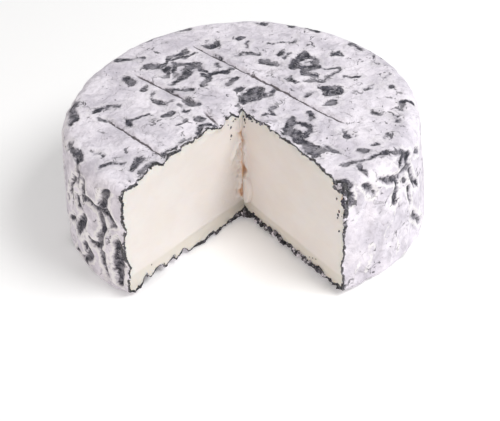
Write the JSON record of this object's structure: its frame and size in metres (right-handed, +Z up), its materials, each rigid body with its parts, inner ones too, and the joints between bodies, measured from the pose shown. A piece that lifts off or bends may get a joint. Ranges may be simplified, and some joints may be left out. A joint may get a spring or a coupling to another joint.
{
  "type": "cheese wheel",
  "caption": "Soft ripened cheese wheel with an ash and white mould rind, a wedge cut out of it so that the pale paste shows.",
  "frame": {"origin": "middle of the flat underside, on the wheel's own axis, just behind the line where the two cuts meet", "axes": "+Z up along the wheel's axis; the missing wedge opens towards -Y; +X to the right of someone looking into it"},
  "size_m": [0.1395, 0.1248, 0.0498],
  "materials": {
    "rind": "soft white mould over patches of grey vegetable ash",
    "paste": "moist, smooth, slightly translucent cream-white paste"
  },
  "bodies": {
    "root": {"cheese_wheel": "rind"}
  },
  "joints": []
}
